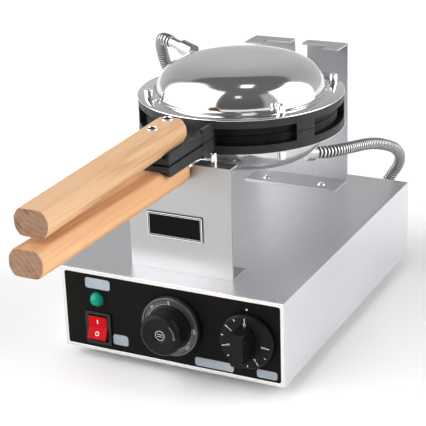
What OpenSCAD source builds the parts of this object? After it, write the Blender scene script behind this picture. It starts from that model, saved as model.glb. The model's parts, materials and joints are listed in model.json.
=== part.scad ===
// Electric bubble waffle iron: a stainless control box, two folded stands and a
// round two-half pan that lifts, turns over on a rear shaft and opens on a hinge.
// Origin: centre of the box and handles' footprint, on the floor; -Y is the front.

/* [Box] */
// Width of the control box
base_w = 250; // [240:1:280]
// Depth of the control box
base_d = 368; // [360:1:400]
// Height of the control box without its feet
base_h = 90; // [88:1:110]
// Height of the rubber feet
foot_h = 12; // [8:1:20]
// Thickness of the box's sheet
sheet = 1.5; // [1:0.1:2]

/* [Stands] */
// Width of both stands
stand_w = 115; // [105:1:130]
// Height of the front stand above the box
front_stand_h = 118; // [117:0.5:118]
// Height of the rear stand above the box
rear_stand_h = 167.5; // [165:0.5:175]
// Thickness of the stands' sheet
stand_t = 2; // [1.5:0.1:2.2]
// Width of the shaft slot in the rear stand
slot_w = 15.4; // [15:0.1:17]

/* [Pans] */
// Diameter of the pans
pan_d = 220; // [216:1:221]
// Thickness of one half, from the parting plane to the outside of its brim
half_t = 18.5; // [17.5:0.1:19]
// Height of the turning axis above the box
axis_rise = 133.5; // [133.5:0.1:135]
// Diameter of the polished domes
dome_d = 181; // [176:1:184]
// Height of each dome above its brim
dome_rise = 36; // [30:1:38]
// Distance between the waffle cups
cup_pitch = 31; // [30:0.5:33]
// Radius of the waffle cups
cup_r = 12.5; // [11:0.5:13]

/* [Handles] */
// Length of the wooden handles
handle_len = 250; // [200:1:260]
// Width of the wooden handles
handle_w = 34; // [28:1:34]
// Thickness of the wooden handles
handle_t = 25.5; // [20:1:27]
// How far the upper handle leans towards the lower one, in degrees
upper_lean = 1.5; // [0:0.1:1.5]
// How far the lower handle leans towards the upper one, in degrees
lower_lean = 0.8; // [0:0.1:1.5]

/* [Controls] */
// Radius of the thermostat dial
thermostat_r = 31.5; // [25:0.5:34]
// Radius of the timer dial
timer_r = 29; // [22:0.5:30]
// Angle of the rocker each side of its middle
rocker_angle = 10; // [6:1:10]

/* [Hoses] */
// Outer diameter of the metal hoses
hose_d = 13.5; // [10:0.5:14]

/* [Hidden] */
$fn = 64;

// Overshoot of a cutter past the face it opens
cut = 1;
// Gap between parts that only lie against each other
gap = 0.2;

// Reach of the longer handle in front of the box, and of the glands behind it
handle_reach = 237.5;
gland_reach = 14;
front_y = (handle_reach - base_d - gland_reach) / 2;
deck_z = foot_h + base_h;
axis_z = deck_z + axis_rise;
frame_t = 2;

// Places along the depth, from the front of the box
front_stand_y = 30;
pan_y = 179;
rear_stand_y = 343;
pivot_y = rear_stand_y + stand_t / 2;
stand_lip = 17;
post_y = 41.5;
nameplate_size = [63, 27.5];
nameplate_at = [-5.3, 151.9];

// Front panel
panel_w = 243;
panel_h = 82;
panel_z = foot_h + 44.8;
panel_t = 1.5;
panel_r = 2.5;

// Control places across and up the front panel
rocker_at = [-83.5, 38.7];
lamp_at = [-83.4, 71.2];
thermostat_at = [3.7, 58.5];
timer_at = [87, 57.5];
rocker_depth = 4;
spindle_r = 3;
lamp_r = 7.5;
cap_r = 22.7;
cap_front = 30;
grip_w = 14;
grip_h = 35;
grip_front = 28;

// Pan half, measured from the pan's centre on the parting plane
pan_r = pan_d / 2;
dome_r = dome_d / 2;
brim_t = 1.2;
split = 0.25;
plate_r = 96;
arm_front = -202;
neck_front = -131.5;
arm_w = 20;
arm_rib = 3.3;
arm_web_low = 1.2;
arm_web_high = 7;
arm_rib_high = 11.8;
neck_high = 15.2;
turn_r = 22.7;
window_h = 9;
window_depth = 7;
window_at = [[8, 56], [68, 112], [124, 158]];
hinge_y = 120;
knuckle_r = 9;
hinge_pin_r = 4;
shaft_r = 5;
cap_nut_at = [-41, -139, 34, 146];
cap_nut_ring_r = 100;
handle_screw_at = [-194, -164];
handle_screw_r = 2.5;
handle_stagger = 12;
lower_handle_more = 15.5;
handle_front = 0.5 - handle_reach - pan_y - arm_front;

// Where the hoses enter the back of the box
gland_x = 64;
gland_z = 44;

// Hose routes: across, from the front of the box, and up from the floor
lower_route = [
    [75.5, 208.6, 183.1], [81, 215.5, 182.2], [88, 228, 180.8], [93, 245, 178.4],
    [96.5, 265, 175], [100, 289, 170.5], [102.5, 314, 164], [105, 342, 154],
    [106, 372, 140.5], [103, 399, 123], [95, 418, 104], [83, 428, 86], [73, 427, 69],
    [66, 415, 53], [64, 399, 45], [64, 383, 44]
];
upper_route = [
    [-104.6, 222.2, 287.1], [-112.5, 225.4, 288.4], [-121, 231.5, 286.8],
    [-128.5, 241.5, 279.5], [-134, 253, 266], [-137.5, 267, 248], [-138.5, 284, 229],
    [-135.5, 304, 208], [-130, 328, 187], [-121, 354, 165], [-110, 381, 141], [-98, 406, 115],
    [-86, 424, 89], [-75, 425, 65], [-67, 411, 50], [-64, 396, 44], [-64, 383, 44]
];
lower_fitting = [[66, 198, 184.5], [72.5, 205.2, 183.55], [75, 208, 183.2]];
upper_fitting = [[-72, 211.3, 280.35], [-88, 216.65, 283.7], [-104, 222, 287]];

// ---- helpers ----

// Puts a shape at a place given from the front of the box
module at(x, y, z) {
    translate([x, front_y + y, z]) children();
}

// A cylinder along Y, starting at y = 0 and growing backwards
module along_y(r, l) {
    rotate([-90, 0, 0]) cylinder(r = r, h = l);
}

// A cylinder along X, centred
module along_x(r, l) {
    rotate([0, 90, 0]) cylinder(r = r, h = l, center = true);
}

// A rectangle with round corners, centred
module round_rect(w, h, r) {
    square([w - 2 * r, h], center = true);
    square([w, h - 2 * r], center = true);
    for (x = [-1, 1], y = [-1, 1])
        translate([x * (w / 2 - r), y * (h / 2 - r)]) circle(r);
}

// A rounded plate facing the front, its front face at y = 0
module front_slab(w, h, t, r) {
    rotate([-90, 0, 0]) linear_extrude(t) round_rect(w, h, r);
}

// An outline in Y and Z, extruded along X and centred
module side_profile(points, w) {
    rotate([90, 0, 90]) translate([0, 0, -w / 2]) linear_extrude(w) polygon(points);
}

// A cylinder from one point to another
module rod(from, to, r) {
    v = to - from;
    l = norm(v);
    translate(from)
        rotate([0, acos(v[2] / l), atan2(v[1], v[0])]) cylinder(r = r, h = l);
}

// The pan's own frame: its centre, on the parting plane
module pan_frame() {
    at(0, pan_y, axis_z) children();
}

// The lower half is the upper half turned upside down about the parting plane
module lower_half() {
    pan_frame() mirror([0, 0, 1]) children();
}

// A handle's own frame: its seat's front edge, leaning to the other handle
module handle_frame(lean) {
    translate([0, arm_front, arm_web_high + gap]) rotate([lean, 0, 0]) children();
}

// ---- hoses ----

function blend_point(a, b, c, d, t) =
    (2 * b + (c - a) * t + (2 * a - 5 * b + 4 * c - d) * t * t
    + (3 * b - a - 3 * c + d) * t * t * t) / 2;
function smooth_route(p, n) = [
    for (i = [0:len(p) - 2], j = [0:n - 1])
        blend_point(p[max(i - 1, 0)], p[i], p[i + 1], p[min(i + 2, len(p) - 1)], j / n),
    p[len(p) - 1]
];
function unit(v) = v / norm(v);
function heading(p, i) = unit(p[min(i + 1, len(p) - 1)] - p[max(i - 1, 0)]);
function ring_at(c, d, r, sides) =
    let (u = unit(cross(d, [1, 0.3, 0.3])), v = cross(d, u))
    [for (k = [0:sides - 1]) c + r * (cos(360 * k / sides) * u + sin(360 * k / sides) * v)];

// A tube swept along a smooth curve through the route's points
module tube(route, r, sides, steps) {
    line = smooth_route(route, steps);
    last = len(line) - 1;
    points = [for (i = [0:last]) each ring_at(line[i], heading(line, i), r, sides)];
    wall = [
        for (i = [0:last - 1], k = [0:sides - 1])
            let (a = i * sides, b = a + sides, m = (k + 1) % sides)
            [a + k, b + k, b + m, a + m]
    ];
    start = [for (k = [0:sides - 1]) k];
    end = [for (k = [sides - 1:-1:0]) last * sides + k];
    polyhedron(concat(points), concat(wall, [start], [end]), convexity = 6);
}

module lower_hose() {
    color("silver") translate([0, front_y, 0]) tube(lower_route, hose_d / 2, 10, 2);
}

module upper_hose() {
    color("silver") translate([0, front_y, 0]) tube(upper_route, hose_d / 2, 10, 2);
}

module hose_glands() {
    color("dimgray")
    for (side = [-1, 1])
        at(side * gland_x, base_d + gap, gland_z) difference() {
            union() {
                along_y(12, 4);
                along_y(9.5, 13.8);
            }
            translate([0, -cut, 0]) along_y(5, 16);
        }
}

// ---- control box ----

module housing() {
    color("gainsboro") difference() {
        at(-base_w / 2, frame_t, foot_h) cube([base_w, base_d - frame_t, base_h]);
        at(-base_w / 2 + sheet, -cut, foot_h - cut)
            cube([base_w - 2 * sheet, base_d - sheet + cut, base_h - sheet + cut]);
        for (side = [-1, 1])
            at(side * gland_x, base_d - 2 * sheet, gland_z) along_y(5, 4 * sheet);
        at(0, base_d - 2 * sheet, gland_z) along_y(6, 4 * sheet);
        for (x = [-100:12.5:100])
            at(x - 2, base_d - 2 * sheet, foot_h + 62) cube([4, 4 * sheet, 16]);
        for (x = [-35, 35], y = [45, 318])
            at(x, y, deck_z - 2 * sheet) cylinder(r = 2.1, h = 4 * sheet);
    }
}

module front_frame() {
    color("silver") difference() {
        at(-base_w / 2, 0, foot_h) cube([base_w, frame_t - 0.05, base_h]);
        at(0, -cut, panel_z) front_slab(panel_w, panel_h, frame_t + 2 * cut, panel_r);
    }
}

module control_panel() {
    color("black") difference() {
        at(0, 0.3, panel_z)
            front_slab(panel_w - 2 * gap, panel_h - 2 * gap, panel_t, panel_r - gap);
        at(rocker_at[0] - 13.2, -cut, rocker_at[1] - 16.2) cube([26.4, 4, 32.4]);
        at(lamp_at[0], -cut, lamp_at[1]) along_y(6, 4);
        at(thermostat_at[0], -cut, thermostat_at[1]) along_y(3.4, 4);
        at(timer_at[0], -cut, timer_at[1]) along_y(3.4, 4);
    }
}

module bottom_cover() {
    color("silver") difference() {
        at(-base_w / 2 + sheet + gap, frame_t + gap, foot_h)
            cube([base_w - 2 * sheet - 2 * gap, base_d - frame_t - sheet - 2 * gap, sheet]);
        for (x = [-60:15:60])
            at(x - 2.5, 130, foot_h - cut) cube([5, 110, sheet + 2 * cut]);
        for (x = [-90, 90], y = [42, base_d - 42])
            at(x, y, foot_h - cut) cylinder(r = 2.1, h = sheet + 2 * cut);
    }
}

module feet() {
    color("black")
    for (x = [-90, 90], y = [42, base_d - 42])
        at(x, y, 0) difference() {
            cylinder(r1 = 13, r2 = 15, h = foot_h);
            translate([0, 0, -cut]) cylinder(r = 5, h = foot_h - 4 + cut);
            cylinder(r = 2.1, h = foot_h + cut);
        }
}

module cover_screws() {
    color("silver")
    for (x = [-90, 90], y = [42, base_d - 42])
        at(x, y, foot_h - 4) {
            cylinder(r = 2, h = 12);
            translate([0, 0, -2.5]) cylinder(r = 4, h = 2.45);
        }
}

module front_stand() {
    turn_cut_r = turn_r + 0.7;
    color("lightgray") difference() {
        at(-stand_w / 2, front_stand_y, deck_z) union() {
            cube([stand_w, stand_t, front_stand_h]);
            translate([0, 0, front_stand_h - stand_t]) cube([stand_w, stand_lip, stand_t]);
            cube([stand_w, 31, stand_t]);
        }
        at(0, front_stand_y - cut, axis_z) along_y(turn_cut_r, stand_lip + 2 * cut);
        for (x = [-35, 35])
            at(x, 45, deck_z - cut) cylinder(r = 2.1, h = stand_t + 2 * cut);
        for (x = [-34, 34])
            at(x, post_y, deck_z + front_stand_h - stand_t - cut)
                cylinder(r = 2.1, h = stand_t + 2 * cut);
    }
}

module guide_posts() {
    color("silver")
    for (x = [-34, 34])
        at(x, post_y, deck_z + front_stand_h) {
            cylinder(r = 3.75, h = 9.5);
            translate([0, 0, 9.5]) cylinder(r1 = 3.75, r2 = 2.75, h = 1.5);
            translate([0, 0, -stand_t - 2]) cylinder(r = 2, h = stand_t + 2);
        }
}

module rear_stand() {
    slot_r = slot_w / 2;
    color("lightgray") difference() {
        at(-stand_w / 2, rear_stand_y, deck_z) union() {
            cube([stand_w, stand_t, rear_stand_h]);
            translate([0, -38, 0]) cube([stand_w, 39, stand_t]);
            translate([0, -15, rear_stand_h - stand_t]) cube([stand_w, 16, stand_t]);
            for (x = [0, stand_w - 19])
                translate([x, -30, rear_stand_h - stand_t]) cube([19, 31, stand_t]);
        }
        at(0, rear_stand_y - cut, axis_z) along_y(slot_r, stand_t + 2 * cut);
        at(-slot_r, rear_stand_y - 20, axis_z) cube([slot_w, 30, rear_stand_h]);
        for (x = [-35, 35])
            at(x, 318, deck_z - cut) cylinder(r = 2.1, h = stand_t + 2 * cut);
    }
}

module stand_screws() {
    color("silver")
    for (x = [-35, 35], y = [45, 318])
        at(x, y, deck_z + stand_t) {
            translate([0, 0, -stand_t - 6]) cylinder(r = 2, h = stand_t + 6);
            cylinder(r = 5, h = 1.2);
            translate([0, 0, 1.2]) cylinder(r1 = 5, r2 = 2.5, h = 1.6);
        }
}

module nameplate() {
    color("black") at(nameplate_at[0], front_stand_y - 1, nameplate_at[1])
        front_slab(nameplate_size[0], nameplate_size[1], 1, 1.5);
}

module label_plates() {
    labels = [[-82.5, 88.2, 29, 11.5], [-58.5, 28.8, 18, 11.5], [48.8, 22.5, 43, 9.5],
        [106.6, 22.8, 22, 9]];
    color("lightsteelblue")
    for (l = labels) at(l[0], -0.3, l[1]) front_slab(l[2], l[3], 0.6, 2.8);
}

module lamp_bezel() {
    color("silver") at(lamp_at[0], 0, lamp_at[1]) difference() {
        union() {
            translate([0, -1.2, 0]) along_y(lamp_r + 0.7, 1.5);
            along_y(5.9, 22);
        }
        translate([0, -2, 0]) along_y(4.9, 20);
    }
}

module lamp_lens() {
    color("green") at(lamp_at[0], 0, lamp_at[1]) {
        translate([0, -1.25, 0]) rotate([90, 22.5, 0]) {
            cylinder(r1 = lamp_r, r2 = lamp_r - 0.8, h = 3, $fn = 8);
            translate([0, 0, 2.99]) cylinder(r1 = lamp_r - 0.8, r2 = 3.6, h = 3.5, $fn = 8);
        }
        translate([0, -1.25, 0]) along_y(4.8, 12);
    }
}

module rocker_frame() {
    color("black") at(rocker_at[0], 0, rocker_at[1]) difference() {
        union() {
            translate([0, -2, 0]) front_slab(30, 36, 2.3, 2);
            translate([-13, 0, -16]) cube([26, 26, 32]);
            for (x = [-7, 7]) translate([x - 3, 25, -0.5]) cube([6, 11, 1]);
        }
        translate([-11.2, -3, -14.8]) cube([22.4, 25, 29.6]);
    }
}

module rocker() {
    profile = [[-9.5, -12.5], [-6.5, 0], [-9.5, 12.5], [0, 9], [2, 7], [2, -7], [0, -9]];
    color("red") at(rocker_at[0], rocker_depth, rocker_at[1])
        rotate([-rocker_angle, 0, 0]) difference() {
            union() {
                side_profile(profile, 21.6);
                along_x(4, 21.6);
            }
            along_x(1.5, 30);
        }
}

module thermostat_body() {
    color("tan") at(thermostat_at[0], 3, thermostat_at[1]) difference() {
        union() {
            along_y(17, 22);
            translate([-22, 0, -6]) cube([44, 1.5, 12]);
            for (x = [-8, 8]) translate([x - 3, 20, -2]) cube([6, 12, 1.2]);
        }
        translate([0, -cut, 0]) along_y(spindle_r + 0.1, 14);
    }
}

module timer_body() {
    color("silver") at(timer_at[0], 3, timer_at[1]) difference() {
        union() {
            translate([-22, 0, -22]) cube([44, 30, 44]);
            for (x = [-12, 0, 12]) translate([x - 3, 29, -2]) cube([6, 9, 1.2]);
        }
        translate([0, -cut, 0]) along_y(spindle_r + 0.1, 14);
    }
}

// A spindle from inside a knob, through the panel, into the control behind it
module spindle(place) {
    color("silver") at(place[0], -14, place[1]) along_y(spindle_r, 28);
}

module thermostat_spindle() {
    spindle(thermostat_at);
}

module timer_spindle() {
    spindle(timer_at);
}

module thermostat_dial() {
    color("gray") at(thermostat_at[0], -7, thermostat_at[1]) difference() {
        union() {
            along_y(thermostat_r, 6);
            translate([0, -1, 0]) difference() {
                along_y(thermostat_r, 2);
                translate([0, -cut, 0]) along_y(thermostat_r - 2.5, 4);
            }
        }
        translate([0, -3, 0]) along_y(spindle_r + 0.05, 12);
    }
}

// A deep round knob with a rolled front edge and a dished face
module thermostat_cap() {
    back = cap_front - 7.1;
    roll = 5;
    profile = concat(
        [[0, back], [0, 2.5], [5.5, 2.5], [8, 1.2], [cap_r - roll, 0]],
        [for (a = [15:15:90]) [cap_r - roll + roll * sin(a), roll - roll * cos(a)]],
        [[cap_r, back - 4], [cap_r + 1, back - 3], [cap_r + 1, back]]
    );
    color("black") at(thermostat_at[0], -cap_front, thermostat_at[1]) difference() {
        rotate([-90, 0, 0]) rotate_extrude() polygon(profile);
        translate([0, cap_front - 14.5, 0]) along_y(spindle_r + 0.05, 12);
    }
}

module timer_dial() {
    color("black") at(timer_at[0], -8, timer_at[1]) difference() {
        union() {
            translate([0, 2, 0]) along_y(timer_r, 5);
            rotate([-90, 0, 0]) cylinder(r1 = timer_r - 2, r2 = timer_r, h = 2.01);
        }
        translate([0, -cut, 0]) along_y(spindle_r + 0.05, 12);
    }
}

// An upright bar, ribbed on both sides for the fingers
module timer_grip() {
    depth = grip_front - 8.1;
    color("black") at(timer_at[0], -grip_front, timer_at[1]) difference() {
        union() {
            front_slab(grip_w, grip_h, depth, 2.5);
            translate([0, depth - 5, 0]) front_slab(grip_w + 4, grip_h - 6, 5, 4);
        }
        for (side = [-1, 1], z = [-11.6:5.8:11.6])
            translate([side * grip_w / 2 - 0.7, -cut, z - 0.8]) cube([1.4, depth - 5, 1.6]);
        translate([0, grip_front - 14.5, 0]) along_y(spindle_r + 0.05, 12);
    }
}

module terminal_block() {
    color("ivory") at(-30, 250, foot_h + sheet + gap) difference() {
        cube([60, 24, 16]);
        for (x = [7.5:15:52.5]) translate([x, 12, 6]) cylinder(r = 3, h = 12);
    }
}

module power_inlet() {
    color("black") at(0, base_d + gap, gland_z) difference() {
        union() {
            along_y(13, 4);
            along_y(10, 13.8);
            translate([0, -6, 0]) along_y(5.9, 7);
        }
        translate([0, -8, 0]) along_y(4, 24);
    }
}

// ---- turning shaft ----

module trunnion_bush() {
    color("goldenrod") at(0, pivot_y - 7, axis_z) difference() {
        union() {
            along_y(6.7, 14);
            along_y(11, 2.5);
            translate([0, 11.5, 0]) along_y(11, 2.5);
        }
        translate([0, -cut, 0]) along_y(shaft_r + 0.05, 16);
    }
}

module trunnion_shaft() {
    shaft_front = pan_y + hinge_y + 6;
    color("silver") at(0, 0, axis_z) {
        translate([0, shaft_front, 0]) along_y(shaft_r, pivot_y + 20 - shaft_front);
        translate([0, pivot_y - 11, 0]) along_y(8, 3.5);
    }
}

module shaft_nut() {
    color("silver") at(0, pivot_y + 7.5, axis_z) difference() {
        union() {
            along_y(9.5, 1.5);
            rotate([-90, 0, 0]) cylinder(r = 9, h = 9, $fn = 6);
        }
        translate([0, -cut, 0]) along_y(shaft_r + 0.02, 12);
    }
}

module hinge_pin() {
    color("silver") pan_frame() translate([0, hinge_y, 0]) {
        along_x(hinge_pin_r, 68);
        for (side = [-1, 1]) translate([side * 34.5, 0, 0]) along_x(6, 3);
    }
}

// ---- pan halves, drawn as the upper half ----

// The cast rim, with recessed windows between flat pads
module rim() {
    difference() {
        rotate_extrude($fn = 128)
            translate([plate_r + gap, split])
                square([pan_r - 0.7 - plate_r - gap, half_t - brim_t - split - 0.05]);
        for (side = [-1, 1], w = window_at)
            rotate([0, 0, side > 0 ? w[0] - 90 : -90 - w[1]])
                rotate_extrude(angle = w[1] - w[0], $fn = 128)
                    translate([pan_r - window_depth - 0.7, -cut])
                        square([window_depth + 5, window_h + cut]);
    }
}

// The arm under a handle: a web with a rib on each side, and the neck that joins the rim
module arm() {
    rib = [
        [arm_front, arm_web_low], [arm_front, arm_rib_high - 2],
        [arm_front + 3, arm_rib_high], [neck_front - 15, arm_rib_high],
        [neck_front + 1, neck_high], [-98, neck_high], [-98, split],
        [neck_front, split], [neck_front, arm_web_low]
    ];
    web = [
        [arm_front, arm_web_low], [arm_front, arm_web_high], [-98, arm_web_high],
        [-98, split], [neck_front, split], [neck_front, arm_web_low]
    ];
    intersection() {
        union() {
            side_profile(web, 2 * arm_w - 1);
            for (side = [-1, 1])
                translate([side * (arm_w - arm_rib / 2), 0, 0]) side_profile(rib, arm_rib);
        }
        union() {
            translate([0, arm_front - cut, 0]) along_y(turn_r, neck_front - arm_front + 1);
            translate([0, neck_front + 0.5, 0]) along_y(30, 100);
        }
    }
}

// One half's casting without its hinge knuckles
module half_casting() {
    difference() {
        union() {
            rim();
            difference() {
                arm();
                translate([0, 0, -cut]) cylinder(r = pan_r - 9, h = 40, $fn = 128);
            }
        }
        for (y = handle_screw_at)
            translate([0, y, 0]) cylinder(r = handle_screw_r + 0.6, h = 20);
    }
}

module upper_pan() {
    web = [[hinge_y - 18, 2], [hinge_y - 18, 16], [hinge_y - 9, 16], [hinge_y + 4, 7],
        [hinge_y, 1]];
    color("dimgray") pan_frame() difference() {
        union() {
            half_casting();
            for (side = [-1, 1]) translate([side * 25.3, 0, 0]) {
                side_profile(web, 13.4);
                translate([0, hinge_y, 0]) along_x(knuckle_r, 13.4);
            }
        }
        translate([0, hinge_y, 0]) along_x(hinge_pin_r + 0.05, 100);
        translate([0, 0, -cut]) cylinder(r = plate_r + gap, h = 40, $fn = 128);
    }
}

module lower_pan() {
    block = [[hinge_y - 18, 0.5], [hinge_y - 18, 16], [hinge_y + 6, 16], [hinge_y + 16, 8],
        [hinge_y + 16, -8.5], [hinge_y, -8.5], [hinge_y - 8, 0.5]];
    color("dimgray") lower_half() difference() {
        union() {
            half_casting();
            side_profile(block, 36);
            translate([0, hinge_y, 0]) along_x(knuckle_r, 36);
        }
        translate([0, hinge_y, 0]) along_x(hinge_pin_r + 0.05, 100);
        translate([0, hinge_y + 5.5, 0]) along_y(shaft_r + 0.02, 20);
        translate([0, 0, -cut]) cylinder(r = plate_r + gap, h = 40, $fn = 128);
    }
}

// The waffle plate: a thick cast disc with a hexagonal field of round cups
module waffle_plate() {
    row_h = cup_pitch * sqrt(3) / 2;
    difference() {
        translate([0, 0, 3]) cylinder(r = plate_r, h = half_t - brim_t - 3.2, $fn = 128);
        for (row = [-3:3], col = [-3:3]) {
            x = (col + (row % 2 == 0 ? 0 : 0.5)) * cup_pitch;
            y = row * row_h;
            if (norm([x, y]) < plate_r - cup_r + 1)
                translate([x, y, 1.5]) sphere(r = cup_r, $fn = 48);
        }
    }
}

// The polished cover: a flat brim with a step, and a dome with a round shoulder
module dome() {
    steps = 16;
    shoulder = 4.7;
    height = function(r, top, edge) top * sqrt(max(0, 1 - pow(r / edge, shoulder)));
    radii = [for (i = [0:steps]) dome_r * sin(90 * i / steps)];
    outer = [for (r = radii) [r, half_t + height(r, dome_rise, dome_r)]];
    inner = [for (i = [steps:-1:0])
        let (r = radii[i] * (dome_r - brim_t) / dome_r)
        [r, half_t + height(r, dome_rise - brim_t, dome_r - brim_t)]];
    brim = [[dome_r + 3, half_t + 2], [dome_r + 5, half_t], [pan_r, half_t],
        [pan_r, half_t - brim_t], [dome_r - brim_t, half_t - brim_t]];
    rotate_extrude($fn = 128) polygon(concat(outer, brim, inner));
}

module heater() {
    color("dimgray")
    for (r = [38, 66]) translate([0, 0, half_t + 4]) rotate_extrude($fn = 96)
        translate([r, 0]) circle(r = 4, $fn = 32);
}

module insulation() {
    color("white") translate([0, 0, half_t + 11]) cylinder(r = 74, h = 9, $fn = 96);
}

// An eight-sided wooden bar with broad flats and clipped corners
module handle_bar(front, length) {
    c = 5;
    d = 8;
    w = handle_w / 2;
    outline = [
        [-w, d], [c - w, 0], [w - c, 0], [w, d],
        [w, handle_t - d], [w - c, handle_t], [c - w, handle_t], [-w, handle_t - d]
    ];
    difference() {
        translate([0, front + length, 0])
            rotate([90, 0, 0]) linear_extrude(length) polygon(outline);
        for (y = handle_screw_at)
            translate([0, y - arm_front, -cut])
                cylinder(r = handle_screw_r + 0.1, h = handle_t + 2 * cut);
    }
}

module handle_screws(lean) {
    color("silver") handle_frame(lean)
    for (y = handle_screw_at)
        translate([0, y - arm_front, 0]) {
            translate([0, 0, -5.5]) cylinder(r = handle_screw_r, h = handle_t + 6);
            translate([0, 0, handle_t]) cylinder(r1 = 6, r2 = 5, h = 1.5);
        }
}

module cap_nuts() {
    color("silver")
    for (a = cap_nut_at)
        rotate([0, 0, a]) translate([cap_nut_ring_r, 0, half_t]) {
            cylinder(r = 4.5, h = 9);
            translate([0, 0, 9]) cylinder(r1 = 4.5, r2 = 3, h = 2);
        }
}

// A nut on the dome, then a sleeve that holds the hose
module fitting(ends) {
    color("dimgray") translate([0, front_y, 0]) {
        rod(ends[0], ends[1], hose_d / 2 + 1.5);
        rod(ends[0], ends[2], hose_d / 2 - 1.2);
    }
}

module upper_plate() {
    color("darkslategray") pan_frame() waffle_plate();
}

module lower_plate() {
    color("darkslategray") lower_half() waffle_plate();
}

module upper_dome() {
    color("white") pan_frame() dome();
}

module lower_dome() {
    color("white") lower_half() dome();
}

module upper_heater() {
    pan_frame() heater();
}

module lower_heater() {
    lower_half() heater();
}

module upper_insulation() {
    pan_frame() insulation();
}

module lower_insulation() {
    lower_half() insulation();
}

module upper_handle() {
    color("burlywood") pan_frame() handle_frame(upper_lean)
        handle_bar(handle_front + handle_stagger, handle_len);
}

module lower_handle() {
    color("sandybrown") lower_half() handle_frame(lower_lean)
        handle_bar(handle_front, handle_len + lower_handle_more);
}

module upper_handle_screws() {
    pan_frame() handle_screws(upper_lean);
}

module lower_handle_screws() {
    lower_half() handle_screws(lower_lean);
}

module upper_cap_nuts() {
    pan_frame() cap_nuts();
}

module lower_cap_nuts() {
    lower_half() cap_nuts();
}

module upper_hose_fitting() {
    fitting(upper_fitting);
}

module lower_hose_fitting() {
    fitting(lower_fitting);
}

housing();
front_frame();
control_panel();
bottom_cover();
feet();
cover_screws();
front_stand();
rear_stand();
stand_screws();
nameplate();
guide_posts();
label_plates();
lamp_bezel();
lamp_lens();
rocker_frame();
rocker();
thermostat_body();
thermostat_spindle();
thermostat_dial();
thermostat_cap();
timer_body();
timer_spindle();
timer_dial();
timer_grip();
terminal_block();
power_inlet();
hose_glands();
lower_hose();
upper_hose();
trunnion_bush();
trunnion_shaft();
shaft_nut();
hinge_pin();
lower_pan();
lower_plate();
lower_dome();
lower_heater();
lower_insulation();
lower_handle();
lower_handle_screws();
lower_cap_nuts();
lower_hose_fitting();
upper_pan();
upper_plate();
upper_dome();
upper_heater();
upper_insulation();
upper_handle();
upper_handle_screws();
upper_cap_nuts();
upper_hose_fitting();
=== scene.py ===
import json
import math
import bmesh
import bpy
from mathutils import Matrix, Vector


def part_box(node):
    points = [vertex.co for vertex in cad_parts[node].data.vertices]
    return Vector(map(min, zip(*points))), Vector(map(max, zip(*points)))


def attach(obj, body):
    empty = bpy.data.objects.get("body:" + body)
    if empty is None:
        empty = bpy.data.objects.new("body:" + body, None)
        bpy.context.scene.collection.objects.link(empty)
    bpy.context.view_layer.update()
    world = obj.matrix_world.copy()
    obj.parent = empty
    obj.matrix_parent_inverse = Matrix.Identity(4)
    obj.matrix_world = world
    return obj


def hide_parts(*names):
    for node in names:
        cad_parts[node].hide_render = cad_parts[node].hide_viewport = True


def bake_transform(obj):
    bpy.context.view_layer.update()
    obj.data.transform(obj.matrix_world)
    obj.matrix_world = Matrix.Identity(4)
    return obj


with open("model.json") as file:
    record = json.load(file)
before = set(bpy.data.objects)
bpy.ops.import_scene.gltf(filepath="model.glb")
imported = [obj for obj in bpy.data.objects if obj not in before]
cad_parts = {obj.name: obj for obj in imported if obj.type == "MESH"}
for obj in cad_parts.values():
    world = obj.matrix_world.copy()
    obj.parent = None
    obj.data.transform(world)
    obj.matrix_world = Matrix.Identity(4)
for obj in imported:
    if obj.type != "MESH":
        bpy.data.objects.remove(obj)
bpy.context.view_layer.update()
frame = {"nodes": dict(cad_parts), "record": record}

# ---- places, in metres: x across, y back from the front of the box, z up from the floor ----

FRONT_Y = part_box("front_frame")[0].y
DECK_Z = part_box("housing")[1].z
AXIS_Z = 0.2355  # the height that the pan turns over at
PAN_Y = 0.179
PAN_R = 0.110
HALF_T = 0.0185  # from the parting face to the brim of each half
STAND_T = 0.002

# The controls' centres on the panel, as x and z
THERMOSTAT = (0.0037, 0.0585)
TIMER = (0.087, 0.0575)
LAMP = (-0.0834, 0.0712)
ROCKER = (-0.0835, 0.0387)


def at(x, y, z):
    return Vector((x, FRONT_Y + y, z))


PAN_FRAME = Matrix.Translation(at(0, PAN_Y, AXIS_Z))
UPSIDE_DOWN = Matrix.Diagonal((1, 1, -1, 1))
HALF_FRAMES = {"upper": PAN_FRAME, "lower": PAN_FRAME @ UPSIDE_DOWN}

# ---- camera ----

LENS_MM = 116.26
SENSOR_MM = 36.0
CAMERA_AT = (0.6096, -1.1646, 0.6601)
CAMERA_YAW = 27.0
CAMERA_PITCH = -21.16
CAMERA_ROLL = -1.95


def make_camera():
    data = bpy.data.cameras.new("camera")
    data.lens = LENS_MM
    data.sensor_width = SENSOR_MM
    camera = bpy.data.objects.new("camera", data)
    turn = (
        Matrix.Rotation(math.radians(CAMERA_YAW), 4, "Z")
        @ Matrix.Rotation(math.radians(90 + CAMERA_PITCH), 4, "X")
        @ Matrix.Rotation(math.radians(CAMERA_ROLL), 4, "Z")
    )
    camera.matrix_world = Matrix.Translation(CAMERA_AT) @ turn
    bpy.context.scene.collection.objects.link(camera)
    bpy.context.scene.camera = camera


make_camera()

# ---- mesh building ----

NO_RADIUS = 1e-6
ROUND_SEGMENTS = 48
FONT_DIGIT_HEIGHT = 0.7  # of a digit in the built-in font, as a share of the text size


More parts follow.
